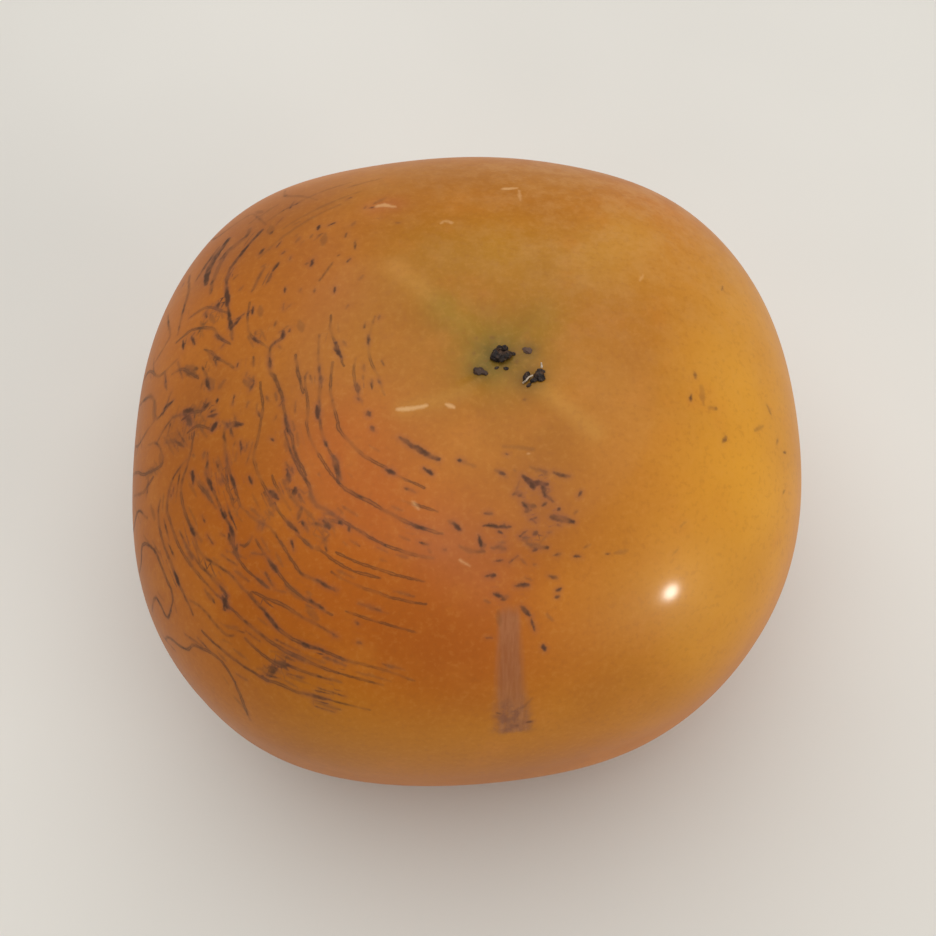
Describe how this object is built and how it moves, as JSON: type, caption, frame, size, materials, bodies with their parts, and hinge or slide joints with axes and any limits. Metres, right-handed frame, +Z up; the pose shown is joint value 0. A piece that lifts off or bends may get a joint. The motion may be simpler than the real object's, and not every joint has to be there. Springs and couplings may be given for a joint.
{
  "type": "persimmon",
  "caption": "Squat, squarish orange persimmon resting calyx down, blossom end up, with dried style remnants at the apex.",
  "frame": {"origin": "on the surface that the fruit rests on, under the middle of its footprint", "axes": "+Z up from the calyx end to the blossom end, which sits off the middle towards +X; -Y is the side turned to the viewer, the one with the upright scuff"},
  "size_m": [0.075, 0.0722, 0.0526],
  "materials": {
    "fruit_skin": "satin",
    "calyx": "matte",
    "stalk": "matte",
    "dried_style": "matte"
  },
  "bodies": {
    "root": {"fruit": "fruit_skin", "calyx": "calyx", "stalk": "stalk", "style_remnant_back_left": "dried_style", "style_remnant_back_right": "dried_style", "style_remnant_front_left": "dried_style", "style_remnant_front_right": "dried_style"}
  },
  "joints": []
}
